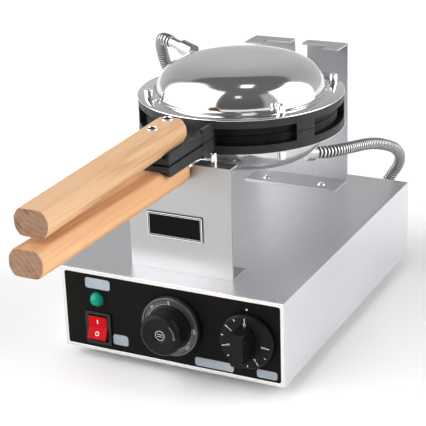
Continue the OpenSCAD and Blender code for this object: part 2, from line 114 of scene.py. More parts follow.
class Shape:
    """Vertices and faces gathered from parts, each part placed by a matrix."""

    def __init__(self):
        self.vertices = []
        self.faces = []
        self.looks = []

    def add(self, vertices, faces, matrix=Matrix(), look=0):
        first = len(self.vertices)
        self.vertices += [matrix @ Vector(v) for v in vertices]
        self.faces += [[first + i for i in face] for face in faces]
        self.looks += [look] * len(faces)

    def lathe(self, profile, matrix=Matrix(), segments=ROUND_SEGMENTS):
        """Turns (radius, height) points about Z; a point with no radius is one vertex."""
        vertices = []
        rows = []
        for radius, height in profile:
            if radius < NO_RADIUS:
                rows.append([len(vertices)] * segments)
                vertices.append((0, 0, height))
            else:
                rows.append(list(range(len(vertices), len(vertices) + segments)))
                for i in range(segments):
                    a = 2 * math.pi * i / segments
                    vertices.append((radius * math.cos(a), radius * math.sin(a), height))
        faces = []
        for low, high in zip(rows, rows[1:]):
            for i in range(segments):
                j = (i + 1) % segments
                corners = [low[i], low[j], high[j], high[i]]
                face = list(dict.fromkeys(corners))
                if len(face) > 2:
                    faces.append(face)
        self.add(vertices, faces, matrix)

    def loft(self, sections, matrix=Matrix(), look=0, end_look=None):
        """Joins closed loops of the same number of points, and closes both ends."""
        count = len(sections[0])
        vertices = [point for section in sections for point in section]
        faces = []
        for near in range(0, (len(sections) - 1) * count, count):
            far = near + count
            for i in range(count):
                j = (i + 1) % count
                faces.append([near + i, near + j, far + j, far + i])
        self.add(vertices, faces, matrix, look)
        first = len(self.vertices) - len(vertices)
        last = len(self.vertices) - count
        self.faces += [list(range(start, start + count)) for start in (first, last)]
        self.looks += [look if end_look is None else end_look] * 2

    def slab(self, outline, bottom, top, matrix=Matrix()):
        """An outline in X and Y, given thickness along Z."""
        self.loft([[(x, y, z) for x, y in outline] for z in (bottom, top)], matrix)

    def build(self, name, body, materials, smooth=40):
        """Makes the piece; edges that turn by more than the smooth angle in degrees stay sharp."""
        mesh = bpy.data.meshes.new(name)
        mesh.from_pydata([tuple(v) for v in self.vertices], [], self.faces)
        for material in materials:
            mesh.materials.append(material)
        for polygon, look in zip(mesh.polygons, self.looks):
            polygon.material_index = look
        work = bmesh.new()
        work.from_mesh(mesh)
        bmesh.ops.recalc_face_normals(work, faces=work.faces)
        work.to_mesh(mesh)
        work.free()
        mesh.shade_smooth()
        mesh.set_sharp_from_angle(angle=math.radians(smooth))
        piece = bpy.data.objects.new(name, mesh)
        bpy.context.scene.collection.objects.link(piece)
        if body:
            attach(piece, body)
        return piece


def facing_front(x, y, z):
    """A frame whose Z points out of the front panel and whose Y points up."""
    return Matrix.Translation(at(x, y, z)) @ Matrix.Rotation(math.radians(90), 4, "X")


def rounded_rectangle(w, h, r, steps=6):
    """Points round a rectangle, with steps + 1 of them on each corner's arc."""
    points = []
    for cx, cy, start in ((1, 1, 0), (-1, 1, 90), (-1, -1, 180), (1, -1, 270)):
        for i in range(steps + 1):
            a = math.radians(start + 90 * i / steps)
            points.append((cx * (w / 2 - r) + r * math.cos(a), cy * (h / 2 - r) + r * math.sin(a)))
    return points


def circle(r, segments):
    angles = [2 * math.pi * i / segments for i in range(segments)]
    return [(r * math.cos(a), r * math.sin(a)) for a in angles]


def ring_band(shape, outline, width, bottom, top, matrix):
    """A closed band that follows a rounded outline, from its edge inwards."""
    count = len(outline)
    inner = []
    for i, (x, y) in enumerate(outline):
        ax, ay = outline[i - 1]
        bx, by = outline[(i + 1) % count]
        dx, dy = bx - ax, by - ay
        length = math.hypot(dx, dy)
        inner.append((x - dy / length * width, y + dx / length * width))
    loops = [outline, outline, inner, inner]
    heights = [bottom, top, top, bottom]
    vertices = [(x, y, z) for loop, z in zip(loops, heights) for x, y in loop]
    faces = []
    for k in range(len(loops)):
        near = k * count
        far = (k + 1) % len(loops) * count
        for i in range(count):
            j = (i + 1) % count
            faces.append([near + i, near + j, far + j, far + i])
    shape.add(vertices, faces, matrix)


def written(shape, text, height, thickness, matrix):
    """Thin raised digits, centred on the frame's origin."""
    curve = bpy.data.curves.new("digits", "FONT")
    curve.body = text
    curve.size = height / FONT_DIGIT_HEIGHT
    curve.extrude = thickness / 2
    curve.align_x = "CENTER"
    curve.align_y = "CENTER"
    curve.resolution_u = 3
    holder = bpy.data.objects.new("digits", curve)
    mesh = bpy.data.meshes.new_from_object(holder)
    faces = [list(p.vertices) for p in mesh.polygons]
    shape.add([v.co for v in mesh.vertices], faces, matrix)
    bpy.data.objects.remove(holder)
    bpy.data.meshes.remove(mesh)
    bpy.data.curves.remove(curve)


# ---- materials ----


class Look:
    """One procedural material: a Principled shader and the nodes that feed it."""

    def __init__(self, name, colour, roughness, metallic=0.0, **settings):
        self.material = bpy.data.materials.new(name)
        self.material.use_nodes = True
        self.nodes = self.material.node_tree.nodes
        self.links = self.material.node_tree.links
        self.shader = self.nodes["Principled BSDF"]
        self.shader.inputs["Base Color"].default_value = (*colour, 1)
        self.shader.inputs["Roughness"].default_value = roughness
        self.shader.inputs["Metallic"].default_value = metallic
        for key, value in settings.items():
            self.shader.inputs[key.replace("_", " ")].default_value = value
        self.where = self.nodes.new("ShaderNodeTexCoord").outputs["Object"]
        self.relief = None

    def scaled(self, scale, offset=(0, 0, 0)):
        """The place on the object, in metres from the row's origin, scaled and moved."""
        mapping = self.nodes.new("ShaderNodeMapping")
        mapping.inputs["Scale"].default_value = scale
        mapping.inputs["Location"].default_value = offset
        self.links.new(self.where, mapping.inputs["Vector"])
        return mapping.outputs["Vector"]

    def noise(self, scale, detail=3.0, roughness=0.5, distortion=0.0, offset=(0, 0, 0)):
        node = self.nodes.new("ShaderNodeTexNoise")
        node.inputs["Scale"].default_value = 1.0
        node.inputs["Detail"].default_value = detail
        node.inputs["Roughness"].default_value = roughness
        node.inputs["Distortion"].default_value = distortion
        self.links.new(self.scaled(scale, offset), node.inputs["Vector"])
        return node.outputs["Fac"]

    def ramp(self, value, stops):
        """Turns a value into a colour through (value, colour) stops."""
        node = self.nodes.new("ShaderNodeValToRGB")
        elements = node.color_ramp.elements
        while len(elements) < len(stops):
            elements.new(0.5)
        for element, (place, colour) in zip(elements, stops):
            element.position = place
            element.color = (*colour, 1)
        self.links.new(value, node.inputs["Fac"])
        return node.outputs["Color"]

    def spread(self, value, low, high, start, end):
        """Goes evenly from low to high while the value goes from start to end."""
        node = self.nodes.new("ShaderNodeMapRange")
        node.inputs["From Min"].default_value = start
        node.inputs["From Max"].default_value = end
        node.inputs["To Min"].default_value = low
        node.inputs["To Max"].default_value = high
        self.links.new(value, node.inputs["Value"])
        return node.outputs["Result"]

    def mix(self, factor, first, second, mode="MIX"):
        node = self.nodes.new("ShaderNodeMix")
        node.data_type = "RGBA"
        node.blend_type = mode
        colour_inputs = [s for s in node.inputs if s.type == "RGBA"]
        if isinstance(factor, float):
            node.inputs["Factor"].default_value = factor
        else:
            self.links.new(factor, node.inputs["Factor"])
        self.links.new(first, colour_inputs[0])
        self.links.new(second, colour_inputs[1])
        return [s for s in node.outputs if s.type == "RGBA"][0]

    def colour(self, socket):
        self.links.new(socket, self.shader.inputs["Base Color"])

    def rough(self, value, low, high):
        self.links.new(self.spread(value, low, high, 0.2, 0.8), self.shader.inputs["Roughness"])

    def bump(self, value, strength, distance):
        """Adds relief on top of any that the look has already."""
        node = self.nodes.new("ShaderNodeBump")
        node.inputs["Strength"].default_value = strength
        node.inputs["Distance"].default_value = distance
        self.links.new(value, node.inputs["Height"])
        if self.relief is not None:
            self.links.new(self.relief, node.inputs["Normal"])
        self.relief = node.outputs["Normal"]
        self.links.new(self.relief, self.shader.inputs["Normal"])


def shade(colour, factor):
    return tuple(min(1.0, c * factor) for c in colour)


def brushed_steel(name, colour, roughness, grain):
    """Sheet steel with fine brush lines; grain is the noise scale along X, Y and Z."""
    look = Look(name, colour, roughness, 1.0)
    lines = look.noise(grain, detail=4.0, roughness=0.6)
    broad = look.noise((9, 9, 9), detail=2.0)
    tone = look.ramp(lines, [(0.3, shade(colour, 0.97)), (0.7, shade(colour, 1.02))])
    stain = look.ramp(broad, [(0.3, (0.95, 0.95, 0.955)), (0.7, (1, 1, 1))])
    look.colour(look.mix(1.0, tone, stain, "MULTIPLY"))
    look.rough(broad, roughness - 0.03, roughness + 0.04)
    look.bump(lines, 0.3, 0.00002)
    return look.material


def polished_steel(name, colour, roughness):
    """Bright steel with faint polishing marks and smears."""
    look = Look(name, colour, roughness, 1.0)
    smear = look.noise((22, 22, 22), detail=5.0, roughness=0.65, distortion=0.6)
    marks = look.noise((420, 420, 90), detail=3.0)
    look.colour(look.ramp(smear, [(0.25, shade(colour, 0.95)), (0.75, shade(colour, 1.03))]))
    look.rough(smear, roughness * 0.7, roughness * 1.6)
    look.bump(marks, 0.05, 0.00003)
    return look.material


def moulded(name, colour, roughness, grain=900, bump=0.25, metallic=0.0, **settings):
    """Moulded or painted matter with a fine grain and slight colour variation."""
    settings.setdefault("Specular_IOR_Level", 0.25)
    look = Look(name, colour, roughness, metallic, **settings)
    fine = look.noise((grain, grain, grain), detail=2.0)
    broad = look.noise((35, 35, 35), detail=3.0)
    look.colour(look.ramp(broad, [(0.3, shade(colour, 0.88)), (0.7, shade(colour, 1.12))]))
    look.rough(broad, roughness - 0.05, roughness + 0.06)
    look.bump(fine, bump, 0.00008)
    return look.material


def cast_iron(name, colour):
    """A sand-cast rim with a dull coating, rubbed brighter here and there, with shade painted
    near-black in its windows.
    """
    look = Look(name, colour, 0.48, Specular_IOR_Level=0.13)
    skin = look.noise((620, 620, 620), detail=4.0, roughness=0.7)
    wear = look.noise((55, 55, 55), detail=5.0, roughness=0.6)
    skin_stops = [(0.3, shade(colour, 0.8)), (0.62, colour), (0.8, shade(colour, 1.5))]
    skin_colour = look.ramp(wear, skin_stops)
    radius = look.nodes.new("ShaderNodeVectorMath")
    radius.operation = "LENGTH"
    look.links.new(look.scaled((1, 1, 0), (0, -at(0, PAN_Y, 0).y, 0)), radius.inputs[0])
    # Painted shade: near-black for everything inward of the rim's outer face, standing in for the
    # shade in its windows
    recess = look.ramp(wear, [(0.3, shade(colour, 0.12)), (0.7, shade(colour, 0.2))])
    # 0 inward, where the painted shade lies, rising to 1 on the outer face
    outer_unshaded_share = look.spread(radius.outputs["Value"], 0.0, 1.0, PAN_R - 0.0022, PAN_R - 0.0010)
    look.colour(look.mix(outer_unshaded_share, recess, skin_colour))
    look.rough(wear, 0.38, 0.54)
    look.bump(skin, 0.4, 0.00018)
    return look.material


def wood(name, light, dark, seed):
    """Straight-grained wood along Y, with darker streaks, fine fibres and small pores."""
    look = Look(name, light, 0.48, 0.0, Specular_IOR_Level=0.25)
    band = look.noise(
        (70, 3.2, 95), detail=3.0, roughness=0.55, distortion=0.8, offset=(seed, 0, seed)
    )
    fibre = look.noise((900, 14, 900), detail=3.0, offset=(0, seed, 0))
    figure = look.noise((26, 7, 26), detail=2.0, distortion=0.4, offset=(seed, seed, 0))
    base_stops = [
        (0.28, dark), (0.46, light), (0.62, shade(light, 1.06)), (0.8, shade(light, 0.9)),
    ]
    base = look.ramp(band, base_stops)
    thread = look.ramp(fibre, [(0.3, (0.86, 0.8, 0.73)), (0.6, (1, 1, 1))])
    cloud = look.ramp(figure, [(0.3, (0.93, 0.88, 0.82)), (0.65, (1, 1, 1))])
    look.colour(look.mix(1.0, look.mix(0.75, base, thread, "MULTIPLY"), cloud, "MULTIPLY"))
    look.rough(band, 0.42, 0.56)
    look.bump(fibre, 0.22, 0.00012)
    return look.material


def end_grain(name, light, dark, centre):
    """The cut end of a bar: mottled brown with thin pale growth rings about a far centre."""
    look = Look(name, light, 0.62, 0.0)
    rings = look.nodes.new("ShaderNodeTexWave")
    rings.wave_type = "RINGS"
    rings.rings_direction = "Y"
    rings.inputs["Scale"].default_value = 64.0
    rings.inputs["Distortion"].default_value = 2.2
    rings.inputs["Detail"].default_value = 4.0
    rings.inputs["Detail Scale"].default_value = 1.2
    look.links.new(look.scaled((1, 1, 1), (-centre[0], 0, -centre[1])), rings.inputs["Vector"])
    saw = look.noise((240, 160, 900), detail=4.0, roughness=0.7)
    patch = look.noise((75, 75, 75), detail=3.0, roughness=0.6, offset=(centre[0], 0, 0))
    ground = look.ramp(patch, [(0.34, dark), (0.5, light), (0.66, shade(light, 1.15))])
    lines = look.ramp(rings.outputs["Fac"], [(0.62, (0, 0, 0)), (0.93, (1, 1, 1))])
    pale = look.ramp(saw, [(0.3, shade(light, 1.25)), (0.7, shade(light, 1.7))])
    veined = look.mix(look.spread(lines, 0.0, 0.55, 0.0, 1.0), ground, pale)
    cuts = look.ramp(saw, [(0.32, (0.78, 0.72, 0.68)), (0.62, (1, 1, 1))])
    look.colour(look.mix(0.9, veined, cuts, "MULTIPLY"))
    look.rough(patch, 0.52, 0.7)
    look.bump(saw, 0.4, 0.0002)
    return look.material


LIGHT_WOOD = (0.645, 0.415, 0.245)
LIGHT_WOOD_DARK = (0.48, 0.28, 0.14)
WARM_WOOD = (0.675, 0.385, 0.2)
WARM_WOOD_DARK = (0.505, 0.245, 0.1)
END_WOOD = (0.245, 0.138, 0.078)
END_WOOD_DARK = (0.165, 0.068, 0.033)

LOOKS = {
    "housing_steel": brushed_steel("housing_steel", (0.74, 0.745, 0.77), 0.37, (520, 5, 520)),
    "frame_steel": brushed_steel("frame_steel", (0.80, 0.79, 0.77), 0.24, (6, 520, 520)),
    "cover_steel": brushed_steel("cover_steel", (0.5, 0.5, 0.51), 0.36, (520, 5, 520)),
    "stand_steel": brushed_steel("stand_steel", (0.43, 0.425, 0.425), 0.36, (520, 520, 5)),
    "panel_black": moulded(
        "panel_black", (0.0055, 0.005, 0.0043), 0.45, 1200, 0.15, Specular_IOR_Level=0.06
    ),
    "foot_rubber": moulded("foot_rubber", (0.02, 0.02, 0.02), 0.7, 700, 0.4),
    "screw_steel": polished_steel("screw_steel", (0.78, 0.78, 0.79), 0.16),
    "nameplate_black": moulded(
        "nameplate_black", (0.003, 0.003, 0.0035), 0.3, 1500, 0.1, Specular_IOR_Level=0.06
    ),
    "chrome_fittings": polished_steel("chrome_fittings", (0.86, 0.86, 0.87), 0.07),
    "label_grey": moulded("label_grey", (0.31, 0.345, 0.38), 0.42, 1600, 0.25),
    "lamp_green": moulded(
        "lamp_green", (0.0, 0.25, 0.175), 0.16, 300, 0.1, Specular_IOR_Level=0.2
    ),
    "switch_black": moulded("switch_black", (0.012, 0.012, 0.012), 0.34, 1100, 0.2),
    "rocker_red": moulded(
        "rocker_red", (0.44, 0.003, 0.008), 0.4, 800, 0.06, Specular_IOR_Level=0.05
    ),
    "control_body": moulded("control_body", (0.3, 0.27, 0.22), 0.5, 500, 0.3),
    "spindle_steel": brushed_steel("spindle_steel", (0.6, 0.6, 0.6), 0.25, (300, 20, 300)),
    "dial_silver": moulded("dial_silver", (0.11, 0.11, 0.112), 0.36, 900, 0.1, 0.8),
    "knob_black": moulded(
        "knob_black", (0.0065, 0.0062, 0.006), 0.36, 900, 0.16, Specular_IOR_Level=0.12
    ),
    "terminal_plastic": moulded("terminal_plastic", (0.7, 0.66, 0.55), 0.45, 600, 0.2),
    "gland_black": moulded("gland_black", (0.015, 0.015, 0.015), 0.4, 800, 0.3),
    "gland_steel": polished_steel("gland_steel", (0.52, 0.52, 0.53), 0.2),
    "hose_steel": polished_steel("hose_steel", (0.60, 0.60, 0.60), 0.2),
    "bush_brass": polished_steel("bush_brass", (0.72, 0.52, 0.24), 0.22),
    "pan_cast": cast_iron("pan_cast", (0.038, 0.038, 0.039)),
    "plate_nonstick": moulded("plate_nonstick", (0.018, 0.018, 0.019), 0.3, 420, 0.35),
    "dome_polished": polished_steel("dome_polished", (0.74, 0.74, 0.745), 0.092),
    "heater_tube": moulded("heater_tube", (0.12, 0.12, 0.13), 0.4, 500, 0.3, 0.6),
    "insulation_wool": moulded("insulation_wool", (0.75, 0.74, 0.68), 0.95, 260, 0.9),
    "upper_handle_wood": wood("upper_handle_wood", LIGHT_WOOD, LIGHT_WOOD_DARK, 3.7),
    "lower_handle_wood": wood("lower_handle_wood", WARM_WOOD, WARM_WOOD_DARK, 8.1),
}
CHROME = LOOKS["chrome_fittings"]
UPPER_END = end_grain("upper_handle_end", END_WOOD, END_WOOD_DARK, (0.012, 0.272))
LOWER_END = end_grain("lower_handle_end", END_WOOD, END_WOOD_DARK, (-0.035, 0.19))
OWN_LOOKS = {
    "lamp_bezel": moulded("lamp_collar", (0.002, 0.05, 0.034), 0.35, 900, 0.15),
    # Painted light: the rear stand is the same steel as the front stand; this copy is toned for
    # how light falls on it
    "rear_stand": brushed_steel("rear_stand_steel_painted_light", (0.53, 0.52, 0.545), 0.55, (520, 520, 5)),
}
WHITE_PRINT = moulded("white_print", (0.78, 0.78, 0.76), 0.5, 1500, 0.1)
# Painted shade: dark steel on the faces of the hose's grooves, standing in for the shade in its
# corrugations
HOSE_GROOVE_PAINTED_SHADE = moulded("hose_groove_painted_shade", (0.07, 0.07, 0.072), 0.45, 900, 0.2, 0.7)
# Painted shade: near-black standing in for the shade inside the chrome screws' hexagon sockets
SOCKET_PAINTED_SHADE = moulded("socket_painted_shade", (0.012, 0.012, 0.013), 0.5, 900, 0.2)


def dress_cad_nodes():
    """Gives every CAD node the look of its slot, or its own where it has one."""
    for part in frame["record"]["subparts"]:
        node = frame["nodes"][part["node"]]
        node.data.materials.clear()
        look = OWN_LOOKS.get(part["node"], LOOKS[part["material_slot"]])
        node.data.materials.append(look)


dress_cad_nodes()

# ---- hoses ----

HOSE_D = 0.0135
HOSE_PITCH = 0.0043
HOSE_SIDES = 20
CORRUGATION = [0.84, 0.975, 1.0, 0.99, 0.9]  # the radius at each ring of one pitch
# the rings whose faces take the painted groove shade
GROOVE_RINGS_PAINTED_SHADE = (0, 4)
ROUTE_STEPS = 12
NO_LENGTH = 1e-9
# Each route goes from its fitting on the pan to its gland in the back of the box
LOWER_ROUTE = [
    (0.0755, 0.2086, 0.1831), (0.081, 0.2155, 0.1822), (0.088, 0.228, 0.1808),
    (0.093, 0.245, 0.1784), (0.0965, 0.265, 0.175), (0.1, 0.289, 0.1705),
    (0.1025, 0.314, 0.164), (0.105, 0.342, 0.154), (0.106, 0.372, 0.1405),
    (0.103, 0.399, 0.123), (0.095, 0.418, 0.104), (0.083, 0.428, 0.086),
    (0.073, 0.427, 0.069), (0.066, 0.415, 0.053), (0.064, 0.399, 0.045),
    (0.064, 0.383, 0.044),
]
UPPER_ROUTE = [
    (-0.1046, 0.2222, 0.2871), (-0.1125, 0.2254, 0.2884), (-0.121, 0.2315, 0.2868),
    (-0.1285, 0.2415, 0.2795), (-0.134, 0.253, 0.266), (-0.1375, 0.267, 0.248),
    (-0.1385, 0.284, 0.229), (-0.1355, 0.304, 0.208), (-0.13, 0.328, 0.187),
    (-0.121, 0.354, 0.165), (-0.11, 0.381, 0.141), (-0.098, 0.406, 0.115),
    (-0.086, 0.424, 0.089), (-0.075, 0.425, 0.065), (-0.067, 0.411, 0.05),
    (-0.064, 0.396, 0.044), (-0.064, 0.383, 0.044),
]


def route_length(points):
    return sum((b - a).length for a, b in zip(points, points[1:]))


def smooth_route(points):
    """Points closely spaced on a Catmull-Rom curve through the route."""
    route = [at(*p) for p in points]
    padded = [2 * route[0] - route[1]] + route + [2 * route[-1] - route[-2]]
    fine = []
    for a, b, c, d in zip(padded, padded[1:], padded[2:], padded[3:]):
        for k in range(ROUTE_STEPS):
            t = k / ROUTE_STEPS
            fine.append(
                0.5
                * (
                    2 * b
                    + (c - a) * t
                    + (2 * a - 5 * b + 4 * c - d) * t * t
                    + (3 * b - a - 3 * c + d) * t**3
                )
            )
    fine.append(route[-1])
    return fine


def even_points(fine, spacing):
    """The same curve, with points at equal distances."""
    total = route_length(fine)
    count = round(total / spacing)
    step = total / count
    points = [fine[0]]
    travelled = 0.0
    for a, b in zip(fine, fine[1:]):
        piece = (b - a).length
        while len(points) < count and travelled + piece >= step * len(points) - NO_LENGTH:
            points.append(a.lerp(b, (step * len(points) - travelled) / piece))
        travelled += piece
    points.append(fine[-1])
    return points


def corrugated_rings(points):
    """Rings round the curve: a raised flat band and a groove in every pitch."""
    normal = None
    rings = []
    for i, point in enumerate(points):
        heading = (points[min(i + 1, len(points) - 1)] - points[max(i - 1, 0)]).normalized()
        if normal is None:
            normal = heading.cross(Vector((1, 0.3, 0.3))).normalized()
        normal = (normal - heading * normal.dot(heading)).normalized()
        side = heading.cross(normal)
        radius = HOSE_D / 2 * CORRUGATION[i % len(CORRUGATION)]
        ring = []
        for k in range(HOSE_SIDES):
            a = 2 * math.pi * k / HOSE_SIDES
            ring.append(point + radius * (math.cos(a) * normal + math.sin(a) * side))
        rings.append(ring)
    return rings


def make_hose(name, route, cuts):
    """One hose in pieces that join end to end; cuts lists the pieces from the pan to the box: the
    share of the length where each starts and ends, the bodies at its two ends, and the share of
    the length where a bend would be complete. The bodies and the bend share are not used."""
    points = even_points(smooth_route(route), HOSE_PITCH / len(CORRUGATION))
    rings = corrugated_rings(points)
    for number, (start, end, near_body, far_body, bent_by) in enumerate(cuts):
        low, high, bent = (round(share * (len(points) - 1)) for share in (start, end, bent_by))
        shape = Shape()
        shape.loft([list(ring) for ring in rings[low : high + 1]])
        # the faces of the groove rings take the painted shade
        for index in range(len(shape.looks) - 2):
            ring = (low + index // HOSE_SIDES) % len(CORRUGATION)
            shape.looks[index] = 1 if ring in GROOVE_RINGS_PAINTED_SHADE else 0
        materials = [LOOKS["hose_steel"], HOSE_GROOVE_PAINTED_SHADE]
        piece = shape.build(f"{name}.{number}", None, materials, smooth=50)
        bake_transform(piece)
        if number == 0:
            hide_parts(name)


make_hose(
    "lower_hose",
    LOWER_ROUTE,
    [(0.0, 0.45, "lower", "yoke", 0.45), (0.45, 1.0, "yoke", "base", 1.0)],
)
make_hose(
    "upper_hose",
    UPPER_ROUTE,
    [
        (0.0, 0.22, "upper", "lower", 0.22),
        (0.22, 0.435, "lower", "yoke", 0.375),
        (0.435, 1.0, "yoke", "base", 1.0),
    ],
)

# ---- softened edges on the CAD nodes that stay ----

WELD_DISTANCE = 0.00001
FLAT_ANGLE = 0.6
BEVEL_ANGLE = 35
BEVEL_SEGMENTS = 2
EDGE_WIDTHS = {
    "housing": 0.0007,
    "front_frame": 0.0005,
    "control_panel": 0.0003,
    "bottom_cover": 0.0004,
    "feet": 0.0008,
    "front_stand": 0.0009,
    "rear_stand": 0.0009,
    "rocker_frame": 0.0006,
    "rocker": 0.0006,
    "thermostat_dial": 0.0005,
    "timer_dial": 0.0004,
    "timer_grip": 0.0007,
    "upper_pan": 0.0006,
    "lower_pan": 0.0006,
    "hose_glands": 0.0005,
    "power_inlet": 0.0005,
    "shaft_nut": 0.0005,
    "hinge_pin": 0.0004,
    "terminal_block": 0.0006,
    "label_plates": 0.0002,
    "nameplate": 0.0003,
}


def soften_edges():
    """Merges each flat face's triangles first, because a bevel shades slivers badly."""
    for node, width in EDGE_WIDTHS.items():
        piece = frame["nodes"][node]
        weld = piece.modifiers.new("weld", "WELD")
        weld.merge_threshold = WELD_DISTANCE
        flat = piece.modifiers.new("flat", "DECIMATE")
        flat.decimate_type = "DISSOLVE"
        flat.angle_limit = math.radians(FLAT_ANGLE)
        bevel = piece.modifiers.new("bevel", "BEVEL")
        bevel.width = width
        bevel.segments = BEVEL_SEGMENTS
        bevel.limit_method = "ANGLE"
        bevel.angle_limit = math.radians(BEVEL_ANGLE)
        bevel.harden_normals = True


soften_edges()

# ---- polished domes ----

DOME_R = 0.0905
DOME_RISE = 0.036
SHEET = 0.0012
SHOULDER = 4.7  # a larger power gives a flatter top and a tighter shoulder
DOME_SEGMENTS = 160
OUTSIDE_STEPS = 40
INSIDE_STEPS = 12


def dome_height(r, edge, rise):
    return rise * math.sqrt(max(0.0, 1 - (r / edge) ** SHOULDER))


def make_dome(half):
    """A spun cover: flat-topped dome, a small bead at its foot, and a flat brim."""
    quarter = math.pi / 2
    radii = [DOME_R * math.sin(quarter * i / OUTSIDE_STEPS) for i in range(OUTSIDE_STEPS)]
    profile = [(r, HALF_T + dome_height(r, DOME_R, DOME_RISE)) for r in radii]
    foot = [
        (DOME_R + 0.0001, 0.0030), (DOME_R + 0.0006, 0.0018), (DOME_R + 0.0014, 0.0013),
        (DOME_R + 0.0022, 0.0015), (DOME_R + 0.0030, 0.0019), (DOME_R + 0.0038, 0.0017),
        (DOME_R + 0.0045, 0.0008), (DOME_R + 0.0052, 0.0002), (DOME_R + 0.0062, 0.0),
        (PAN_R - 0.0006, 0.0), (PAN_R - 0.0001, -0.0003), (PAN_R, -0.0008),
    ]
    profile += [(r, HALF_T + h) for r, h in foot]
    profile += [(PAN_R, HALF_T - SHEET), (DOME_R - SHEET, HALF_T - SHEET)]
    inner = DOME_R - SHEET
    for i in range(INSIDE_STEPS, -1, -1):
        r = inner * math.sin(quarter * i / INSIDE_STEPS)
        profile.append((r, HALF_T + dome_height(r, inner, DOME_RISE - SHEET)))
    shape = Shape()
    shape.lathe(profile, HALF_FRAMES[half], DOME_SEGMENTS)
    piece = shape.build(f"{half}_dome_cover", half, [LOOKS["dome_polished"]], 60)
    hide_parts(f"{half}_dome")


# ---- wooden handles ----

HANDLE_W = 0.034
HANDLE_T = 0.0255
HANDLE_LEAN = {"upper": 1.5, "lower": 0.8}
HANDLE_FRONT = 0.0005 - 0.2375 - PAN_Y
HANDLE_LEN = 0.250
HANDLE_STAGGER = 0.012
LOWER_HANDLE_MORE = 0.0155
ARM_FRONT = -0.202
ARM_WEB_HIGH = 0.007
GAP = 0.0001
HANDLE_SCREWS_Y = (-0.194, -0.164)
CORNER_CUTS = (0.13, 0.22, 0.25)
KEY_ANGLE = 60  # between the corners of a hexagon socket


def handle_outline(scale):
    """An octagon with its corners rounded off, scaled about its centre."""
    w, t, c, d = HANDLE_W / 2, HANDLE_T / 2, 0.005, 0.008
    corners = [
        (w, -t + d), (w, t - d), (w - c, t), (c - w, t),
        (-w, t - d), (-w, -t + d), (c - w, -t), (w - c, -t),
    ]
    for share in CORNER_CUTS:
        cut = []
        for i, (ax, az) in enumerate(corners):
            bx, bz = corners[(i + 1) % len(corners)]
            cut.append((ax + share * (bx - ax), az + share * (bz - az)))
            cut.append((bx + share * (ax - bx), bz + share * (az - bz)))
        corners = cut
    return [(x * scale, z * scale) for x, z in corners]


def handle_seat(half):
    """The frame of a handle: the front edge of its seat on the arm, with its lean."""
    return (
        HALF_FRAMES[half]
        @ Matrix.Translation((0, ARM_FRONT, ARM_WEB_HIGH + GAP))
        @ Matrix.Rotation(math.radians(HANDLE_LEAN[half]), 4, "X")
    )


def make_handle(half):
    front = HANDLE_FRONT - ARM_FRONT + (HANDLE_STAGGER if half == "upper" else 0)
    length = HANDLE_LEN + (0 if half == "upper" else LOWER_HANDLE_MORE)
    matrix = handle_seat(half) @ Matrix.Translation((0, 0, HANDLE_T / 2))
    ends = [
        (0.0, 0.97), (0.0004, 0.985), (0.0012, 0.997), (0.0025, 1.0), (length / 2, 1.0),
        (length - 0.010, 1.0), (length - 0.005, 0.985), (length - 0.002, 0.94),
        (length - 0.0005, 0.88), (length, 0.83),
    ]
    sections = [[(x, front + y, z) for x, z in handle_outline(scale)] for y, scale in ends]
    shape = Shape()
    shape.loft(sections, matrix, 0, 1)
    slot_name = f"{half}_handle_wood"
    end = UPPER_END if half == "upper" else LOWER_END
    piece = shape.build(f"{half}_handle_bar", half, [LOOKS[slot_name], end], 28)
    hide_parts(f"{half}_handle")


def hex_hole(radius):
    """Radii of a hexagon's outline at even angles."""
    radii = []
    for i in range(ROUND_SEGMENTS):
        a = (360 * i / ROUND_SEGMENTS) % KEY_ANGLE - KEY_ANGLE / 2
        radii.append(radius * math.cos(math.radians(KEY_ANGLE / 2)) / math.cos(math.radians(a)))
    return radii


def socket_head(shape, matrix, radius, height, key, depth):
    """A round screw head with a rolled bright rim and a hexagon socket painted dark for its shade.
    """
    outside = [
        (1.0, 0.0), (1.0, 0.55), (0.96, 0.88), (0.88, 1.0), (0.78, 0.97), (0.70, 0.62),
    ]
    rows = [([radius * share] * ROUND_SEGMENTS, height * rise) for share, rise in outside]
    rows += [(hex_hole(key), height * 0.58), (hex_hole(key), height - depth)]
    loops = []
    for radii, z in rows:
        loop = []
        for i, r in enumerate(radii):
            a = 2 * math.pi * i / ROUND_SEGMENTS
            loop.append((r * math.cos(a), r * math.sin(a), z))
        loops.append(loop)
    first_shaded_face = len(shape.faces) + (len(outside) - 1) * ROUND_SEGMENTS
    shape.loft(loops, matrix)
    # the socket's walls and floor take the painted shade
    for index in range(first_shaded_face, len(shape.faces)):
        shape.looks[index] = 1
    shape.looks[-2] = 0


def make_handle_screws(half):
    shape = Shape()
    shank = [(0, -0.0055), (0.0022, -0.0055), (0.0025, -0.005), (0.0025, 0.0235), (0, 0.0235)]
    for y in HANDLE_SCREWS_Y:
        base = handle_seat(half) @ Matrix.Translation((0, y - ARM_FRONT, 0))
        shape.lathe(shank, base, 24)
        head = base @ Matrix.Translation((0, 0, HANDLE_T - 0.0004))
        socket_head(shape, head, radius=0.0059, height=0.0019, key=0.0030, depth=0.0013)
    materials = [CHROME, SOCKET_PAINTED_SHADE]
    piece = shape.build(f"{half}_handle_screw_set", half, materials, 35)
    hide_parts(f"{half}_handle_screws")


CAP_NUT_ANGLES = (-41, -139, 34, 146)
CAP_NUT_CIRCLE_R = 0.1


